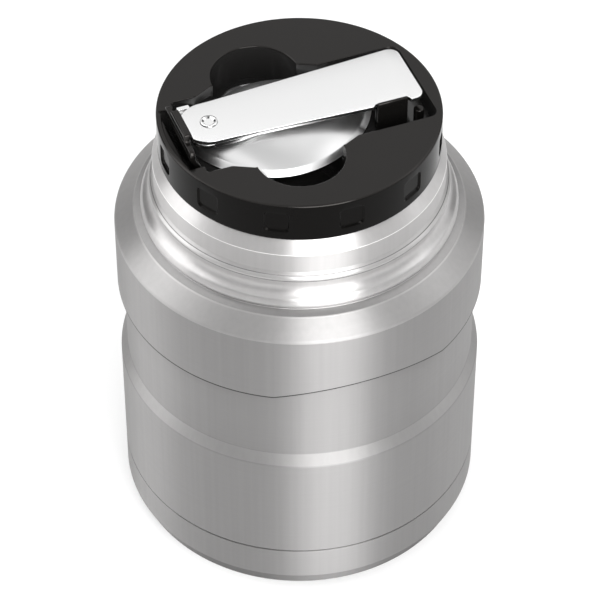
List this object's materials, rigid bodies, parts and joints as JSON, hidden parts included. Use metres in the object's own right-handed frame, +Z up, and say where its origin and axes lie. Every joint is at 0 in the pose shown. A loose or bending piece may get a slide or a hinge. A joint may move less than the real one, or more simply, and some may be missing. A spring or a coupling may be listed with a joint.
{
  "type": "insulated food jar",
  "caption": "Double-walled steel food jar with a screw-in black stopper whose top holds a folding steel spoon behind a sprung latch.",
  "frame": {"origin": "centre of the foot, on the surface that the jar stands on", "axes": "+Z up along the jar's axis; the front with the raised arch faces -Y; the spoon lies along X with its latch at -X"},
  "size_m": [0.094, 0.094, 0.132],
  "materials": {
    "satin_steel": "satin, brushed round the body",
    "shoulder_steel": "satin ring, bright neck",
    "plain_steel": "mill finish",
    "solder": "dull drop",
    "liner_steel": "electropolished",
    "copper_foil": "bright foil",
    "getter_alloy": "sintered grey",
    "black_plastic": "smooth moulded black",
    "dark_plastic": "moulded dark grey",
    "foam": "white foam",
    "silicone": "soft translucent grey",
    "latch_plastic": "smooth moulded black",
    "spoon_steel": "polished steel",
    "handle_steel": "polished steel",
    "rivet_steel": "polished steel"
  },
  "bodies": {
    "jar": {"body_shell": "satin_steel", "shoulder_shell": "shoulder_steel", "base_cup": "satin_steel", "vacuum_bottom": "plain_steel", "seal_bead": "solder", "inner_liner": "liner_steel", "liner_bottom": "liner_steel", "radiation_foil": "copper_foil", "getter": "getter_alloy"},
    "stopper_core": {"stopper_seal": "silicone", "plug_foam": "foam"},
    "stopper": {"stopper_cap": "black_plastic", "stopper_plug": "dark_plastic"},
    "latch": {"spoon_latch": "latch_plastic"},
    "spoon": {"spoon_bowl": "spoon_steel", "spoon_rivet": "rivet_steel"},
    "handle": {"spoon_handle": "handle_steel"}
  },
  "joints": [
    {"name": "stopper_rise", "type": "slide", "parent": "jar", "child": "stopper_core", "axis": [0, 0, 1], "range_m": [0, 0.0321]},
    {"name": "stopper_turn", "type": "hinge", "parent": "stopper_core", "child": "stopper", "pos_m": [0, 0, 0.11], "axis": [0, 0, 1], "range_deg": [0, 1440]},
    {"name": "latch_flex", "type": "hinge", "parent": "stopper", "child": "latch", "pos_m": [-0.02965, 0, 0.11825], "axis": [0, -1, 0], "range_deg": [0, 6], "stiffness_Nm_per_rad": 0.3},
    {"name": "spoon_lift", "type": "slide", "parent": "stopper", "child": "spoon", "axis": [0, 0, 1], "range_m": [0, 0.1]},
    {"name": "handle_unfold", "type": "hinge", "parent": "spoon", "child": "handle", "pos_m": [-0.0236, 0, 0.129], "axis": [0, 0, 1], "range_deg": [0, 180]}
  ],
  "couplings": [
    {"joint": "stopper_rise", "follows": "stopper_turn", "m_per_rad": 0.0012732},
    {"joint": "handle_unfold", "follows": "spoon_lift", "rad_per_m": 31.41}
  ]
}
